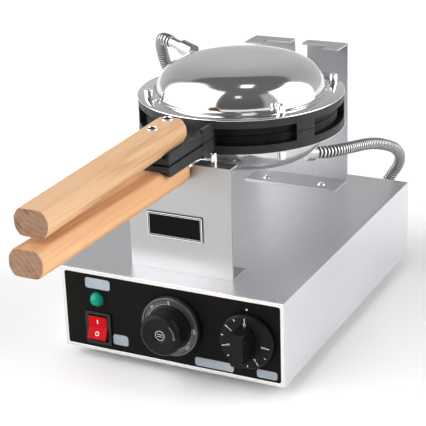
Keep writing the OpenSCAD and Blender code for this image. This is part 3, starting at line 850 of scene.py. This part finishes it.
def make_cap_nuts(half):
    """Turned nuts on the brim: straight, with a fine groove near the foot and a rounded edge."""
    shape = Shape()
    profile = [
        (0, 0.0001), (0.0045, 0.0001), (0.0045, 0.0016), (0.0043, 0.0018), (0.0045, 0.0020),
        (0.0045, 0.0096), (0.0044, 0.0102), (0.0041, 0.0106), (0.0036, 0.0108), (0, 0.011),
    ]
    outwards = Matrix.Translation((CAP_NUT_CIRCLE_R, 0, HALF_T))
    for angle in CAP_NUT_ANGLES:
        turn = Matrix.Rotation(math.radians(angle), 4, "Z") @ outwards
        shape.lathe(profile, HALF_FRAMES[half] @ turn, 40)
    piece = shape.build(f"{half}_cap_nut_set", half, [CHROME], 30)
    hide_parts(f"{half}_cap_nuts")


for half_name in ("lower", "upper"):
    make_dome(half_name)
    make_handle(half_name)
    make_handle_screws(half_name)
    make_cap_nuts(half_name)

# ---- posts and screws ----

POST_X = 0.034
POST_Y = 0.0415
STAND_SCREW_X = 0.035
STAND_SCREWS_Y = (0.045, 0.318)
SCREW_SHANK_R = 0.0019
COVER_SCREW_R = 0.004
COVER_Z = 0.008
CROSS_STEPS = 12
CROSS_POWER = 2.6  # how flat the top of the head is
CROSS_ARM = 0.5  # the cross recess, as shares of the head's radius and height
CROSS_HALF_WIDTH = 0.09
CROSS_DEPTH = 0.5


def make_guide_posts():
    shape = Shape()
    foot_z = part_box("front_stand")[1].z
    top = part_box("guide_posts")[1].z - foot_z
    profile = [
        (0, -0.0035), (0.0019, -0.0035), (0.0019, 0.0001), (0.00375, 0.0001),
        (0.00375, top - 0.0012), (0.0035, top - 0.0004), (0.0030, top), (0, top),
    ]
    for x in (-POST_X, POST_X):
        shape.lathe(profile, Matrix.Translation(at(x, POST_Y, foot_z)), 40)
    piece = shape.build("guide_post_pair", "base", [CHROME], 30)
    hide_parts("guide_posts")


def cross_head(shape, matrix, radius, height):
    """A round screw head with a cross recess pressed into its top."""
    arm = radius * CROSS_ARM
    loops = []
    for k in range(CROSS_STEPS + 1):
        share = 1 - k / CROSS_STEPS
        r = max(radius * share, radius * 0.02)
        loop = []
        for x, y in circle(r, ROUND_SEGMENTS):
            z = height * (1 - share**CROSS_POWER)
            across, along = sorted((abs(x), abs(y)))
            if across < radius * CROSS_HALF_WIDTH and along < arm:
                z -= height * CROSS_DEPTH * (1 - along / arm * 0.5)
            loop.append((x, y, z))
        loops.append(loop)
    shape.loft(loops, matrix)


def add_shank(shape, bottom, top, matrix):
    shape.lathe([(0, bottom), (SCREW_SHANK_R, bottom), (SCREW_SHANK_R, top), (0, top)], matrix, 20)


def make_stand_screws():
    """Each head is turned by its own angle, as screws are."""
    shape = Shape()
    for x in (-STAND_SCREW_X, STAND_SCREW_X):
        for y in STAND_SCREWS_Y:
            place = Matrix.Translation(at(x, y, DECK_Z + STAND_T))
            turn = Matrix.Rotation(math.radians(20 + 900 * x + 70 * y), 4, "Z")
            cross_head(shape, place @ turn, 0.0049, 0.0027)
            add_shank(shape, -0.008, 0.0, place)
    piece = shape.build("stand_screw_set", "base", [LOOKS["screw_steel"]], 40)
    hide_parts("stand_screws")


def make_cover_screws():
    shape = Shape()
    low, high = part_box("cover_screws")
    for x in (low.x + COVER_SCREW_R, high.x - COVER_SCREW_R):
        for y in (low.y + COVER_SCREW_R, high.y - COVER_SCREW_R):
            place = Matrix.Translation((x, y, COVER_Z))
            cross_head(shape, place @ UPSIDE_DOWN, 0.0039, 0.0024)
            add_shank(shape, 0.0, 0.0119, place)
    piece = shape.build("cover_screw_set", "base", [LOOKS["screw_steel"]], 40)
    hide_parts("cover_screws")


make_guide_posts()
make_stand_screws()
make_cover_screws()

# ---- front panel details ----


ROCKER_REST_ANGLE = -10
ROCKER_SLOPE = math.degrees(math.atan2(3, 12.5))
PRINT_SINK = -0.0003  # how far printed marks reach into their surface


def make_lamp():
    """A green cut jewel: a low collar, two rows of facets and a small table."""
    shape = Shape()
    matrix = facing_front(LAMP[0], -0.00125, LAMP[1])
    count = 10
    # Each row: radius, height, and 1 where its corners are half a step round from those of a 0
    rows = [
        (0.0074, 0.0, 0), (0.0074, 0.0010, 0), (0.0068, 0.0022, 1),
        (0.0058, 0.0040, 0), (0.0040, 0.0057, 1), (0.0022, 0.0064, 0),
    ]
    loops = []
    for radius, height, shift in rows:
        loop = []
        for i in range(count):
            a = 2 * math.pi * (i + 0.5 * shift) / count
            loop.append((radius * math.cos(a), radius * math.sin(a), height))
        loops.append(loop)
    for k in range(len(loops) - 1):
        vertices = loops[k] + loops[k + 1]
        step = rows[k + 1][2] - rows[k][2]
        faces = []
        for i in range(count):
            j = (i + 1) % count
            if step == 0:
                faces += [[i, j, count + j, count + i]]
            elif step == 1:
                faces += [[i, j, count + i], [j, count + j, count + i]]
            else:
                faces += [[i, count + j, count + i], [i, j, count + j]]
        shape.add(vertices, faces, matrix)
    shape.add(loops[-1], [list(range(count))], matrix)
    shape.add(loops[0], [list(range(count))], matrix)
    stem = [(0, -0.012), (0.0046, -0.012), (0.0046, 0.0), (0, 0.0)]
    shape.lathe(stem, matrix, 24)
    piece = shape.build("lamp_jewel", "base", [LOOKS["lamp_green"]], 5)
    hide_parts("lamp_lens")


def make_rocker_marks():
    """The on and off marks, printed on the two slopes of the rocker."""
    shape = Shape()
    tilt = Matrix.Rotation(math.radians(ROCKER_REST_ANGLE), 4, "X")
    base = Matrix.Translation(at(ROCKER[0], 0.004, ROCKER[1])) @ tilt
    for side in (1, -1):
        face = (
            base
            @ Matrix.Translation((0, -0.0081, side * 0.0064))
            @ Matrix.Rotation(math.radians(90 + side * ROCKER_SLOPE), 4, "X")
        )
        if side > 0:
            shape.slab(rounded_rectangle(0.0011, 0.0048, 0.0004), PRINT_SINK, 0.00022, face)
        else:
            ring_band(shape, circle(0.0024, 40), 0.0008, PRINT_SINK, 0.00022, face)
    shape.build("rocker_marks", "rocker", [WHITE_PRINT])


def dial_mark(angle, radius, height):
    """A frame on a dial's face, turned so that its Y points away from the centre."""
    turn = Matrix.Rotation(math.radians(-angle), 4, "Z")
    return turn @ Matrix.Translation((0, radius, height))


def make_thermostat_marks():
    """Numbers and dots round the dial; a ring, two bars and a turning arrow on the cap."""
    face = facing_front(THERMOSTAT[0], -0.007, THERMOSTAT[1])
    shape = Shape()
    numbers = 7
    dots = 41
    number_step = -45  # degrees
    dot_step = -6.75
    for k in range(numbers):
        place = face @ dial_mark(number_step * k, 0.0274, 0.0001)
        written(shape, str(50 * k), 0.0029, 0.0003, place)
    for k in range(dots):
        r = 0.0006 if k % 5 == 0 else 0.00045
        mark = face @ dial_mark(dot_step * k, 0.0249, 0.0)
        shape.lathe([(0, -0.0001), (r, -0.0001), (r, 0.0003), (0, 0.0003)], mark, 10)
    shape.build("thermostat_scale", "thermostat", [WHITE_PRINT])

    front = facing_front(THERMOSTAT[0], -0.030, THERMOSTAT[1])
    badge = Shape()
    dish = front @ Matrix.Translation((0, 0, -0.0025))
    ring_band(badge, circle(0.0053, ROUND_SEGMENTS), 0.0007, PRINT_SINK, 0.0005, dish)
    for y in (-0.0011, 0.0011):
        bar = dish @ Matrix.Translation((0, y, 0))
        badge.slab(rounded_rectangle(0.0066, 0.0007, 0.0003, 2), PRINT_SINK, 0.0004, bar)
    badge.build("thermostat_badge", "thermostat", [LOOKS["gland_steel"]], 30)

    arrow = Shape()
    steps = 16
    arc_start, arc_angle = -4, 50
    outline = []
    for radius, order in ((0.0171, range(steps + 1)), (0.0167, range(steps, -1, -1))):
        for i in order:
            a = math.radians(arc_start + arc_angle * i / steps)
            outline.append((radius * math.cos(a), radius * math.sin(a)))
    arrow.slab(outline, PRINT_SINK, 0.0002, front)
    barb_outline = [(-0.0002, 0), (0.0002, 0), (0.0002, 0.0022), (-0.0002, 0.0022)]
    tip = front @ Matrix.Translation((0.0169, -0.0012, 0))
    for lean in (-38, 38):
        barb = tip @ Matrix.Rotation(math.radians(lean), 4, "Z")
        arrow.slab(barb_outline, PRINT_SINK, 0.0002, barb)
    arrow.build("thermostat_arrow", "thermostat", [LOOKS["label_grey"]])


def make_timer_marks():
    """Ticks and numbers on the timer's dial; a turn of 53 degrees is one minute."""
    face = facing_front(TIMER[0], -0.008, TIMER[1])
    shape = Shape()
    half_minutes = 11
    half_minute_angle = -26.5
    for k in range(half_minutes):
        angle = half_minute_angle * k
        long_mark = k % 2 == 0
        length = 0.0042 if long_mark else 0.0026
        tick = face @ dial_mark(angle, 0.0262 - length / 2, 0.0)
        shape.slab(rounded_rectangle(0.0007, length, 0.0003, 2), -0.0001, 0.0003, tick)
        if long_mark:
            written(shape, str(k // 2), 0.0040, 0.0003, face @ dial_mark(angle, 0.0193, 0.0001))
    shape.build("timer_scale", "timer", [WHITE_PRINT])
    dot = Shape()
    dot.lathe(
        [(0, -0.0001), (0.0011, -0.0001), (0.0011, 0.0002), (0.0008, 0.0004), (0, 0.0004)],
        facing_front(0.086, 0.0003, 0.0893),
        20,
    )
    dot.build("timer_index_dot", "base", [WHITE_PRINT])


def make_nameplate_border():
    """A bright raised border with a thin inner line; the field is left blank."""
    low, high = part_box("nameplate")
    w, h = high.x - low.x, high.z - low.z
    bottom = -0.0002
    matrix = facing_front((low.x + high.x) / 2, low.y - FRONT_Y, (low.z + high.z) / 2)
    shape = Shape()
    outline = rounded_rectangle(w - 0.0012, h - 0.0012, 0.0011)
    ring_band(shape, outline, 0.0009, bottom, 0.00045, matrix)
    inner = rounded_rectangle(w - 0.0048, h - 0.0048, 0.0006)
    ring_band(shape, inner, 0.0004, bottom, 0.00025, matrix)
    shape.build("nameplate_border", "base", [CHROME], 30)


make_lamp()
make_rocker_marks()
make_thermostat_marks()
make_timer_marks()
make_nameplate_border()

# ---- floor, lights and world ----

FLOOR_HALF_SIZE = 40.0
STUDIO_BRIGHTNESS = 3.9
HIGHEST_ELEVATION = 89.0


def make_floor():
    shape = Shape()
    corners = [(-1, -1), (1, -1), (1, 1), (-1, 1)]
    shape.add([(x * FLOOR_HALF_SIZE, y * FLOOR_HALF_SIZE, 0) for x, y in corners], [[0, 1, 2, 3]])
    look = Look("floor", (0.93, 0.93, 0.93), 0.7)
    cloud = look.noise((2.5, 2.5, 2.5), detail=2.0)
    look.colour(look.ramp(cloud, [(0.3, (0.925, 0.925, 0.925)), (0.7, (0.935, 0.935, 0.935))]))
    floor = shape.build("floor", None, [look.material])


def small_light(name, place, target, width, height, power):
    data = bpy.data.lights.new(name, "AREA")
    data.shape = "RECTANGLE"
    data.size = width
    data.size_y = height
    data.energy = power
    light = bpy.data.objects.new(name, data)
    aim = (Vector(target) - Vector(place)).to_track_quat("-Z", "Y")
    light.matrix_world = Matrix.Translation(place) @ aim.to_matrix().to_4x4()
    bpy.context.scene.collection.objects.link(light)


class Studio:
    """A world whose brightness is built from soft-edged ranges of azimuth and height."""

    def __init__(self):
        self.world = bpy.data.worlds.new("studio")
        self.world.use_nodes = True
        self.nodes = self.world.node_tree.nodes
        self.links = self.world.node_tree.links
        where = self.nodes.new("ShaderNodeTexCoord")
        split = self.nodes.new("ShaderNodeSeparateXYZ")
        self.links.new(where.outputs["Generated"], split.inputs["Vector"])
        self.height = split.outputs["Z"]
        turn = self.nodes.new("ShaderNodeMath")
        turn.operation = "ARCTAN2"
        self.links.new(split.outputs["X"], turn.inputs[0])
        self.links.new(split.outputs["Y"], turn.inputs[1])
        self.azimuth = turn.outputs[0]

    def rise(self, value, start, end, low=0.0, high=1.0):
        """Goes smoothly from low to high while the value goes from start to end."""
        node = self.nodes.new("ShaderNodeMapRange")
        node.interpolation_type = "SMOOTHSTEP"
        node.inputs["From Min"].default_value = start
        node.inputs["From Max"].default_value = end
        node.inputs["To Min"].default_value = low
        node.inputs["To Max"].default_value = high
        self.links.new(value, node.inputs["Value"])
        return node.outputs["Result"]

    def join(self, operation, first, second):
        node = self.nodes.new("ShaderNodeMath")
        node.operation = operation
        self.links.new(first, node.inputs[0])
        self.links.new(second, node.inputs[1])
        return node.outputs[0]

    def azimuth_range(self, start, start_soft, end, end_soft, value):
        """A value between two azimuths in degrees, 0 behind the object and 90 on its right.
        Each end fades over its softness to either side."""
        opening = self.rise(
            self.azimuth, math.radians(start - start_soft), math.radians(start + start_soft)
        )
        closing = self.rise(
            self.azimuth, math.radians(end - end_soft), math.radians(end + end_soft), value, 0.0
        )
        return self.join("MULTIPLY", opening, closing)

    def below(self, level, soft):
        """Full below an elevation in degrees and nothing above it."""
        low = math.sin(math.radians(level - soft))
        high = math.sin(math.radians(min(HIGHEST_ELEVATION, level + soft)))
        return self.rise(self.height, low, high, 1.0, 0.0)


def make_world():
    """A grey wall behind and a grey wing, a white screen on each side, and dark elsewhere."""
    studio = Studio()
    back = studio.azimuth_range(-82, 22, 43, 3, 0.155)
    back = studio.join("MULTIPLY", back, studio.rise(studio.height, -0.1, 0.8, 1.08, 0.72))
    back = studio.join("MULTIPLY", back, studio.below(51, 4))
    left = studio.azimuth_range(-170, 3, -86, 15, 1.0)
    left = studio.join("MULTIPLY", left, studio.below(62, 7))
    right = studio.azimuth_range(42, 4, 102, 6, 1.0)
    right = studio.join("MULTIPLY", right, studio.below(52, 4))
    wing = studio.azimuth_range(100, 6, 124, 5, 0.125)
    wing = studio.join("MULTIPLY", wing, studio.below(50, 6))
    total = studio.rise(studio.height, 0.0, 1.0, 0.031, 0.043)
    for part in (back, left, right, wing):
        total = studio.join("MAXIMUM", total, part)
    background = studio.nodes["Background"]
    studio.links.new(total, background.inputs["Color"])
    background.inputs["Strength"].default_value = STUDIO_BRIGHTNESS
    bpy.context.scene.world = studio.world


make_floor()
make_world()
small_light("ceiling_window", (0.135, 0.07, 1.47), (0.03, 0.03, 0.28), 0.27, 0.2, 0.4)
small_light("small_window", (0.33, -0.75, 1.13), (0.03, 0.03, 0.27), 0.14, 0.19, 0.1)
bpy.context.scene.view_settings.view_transform = "Standard"
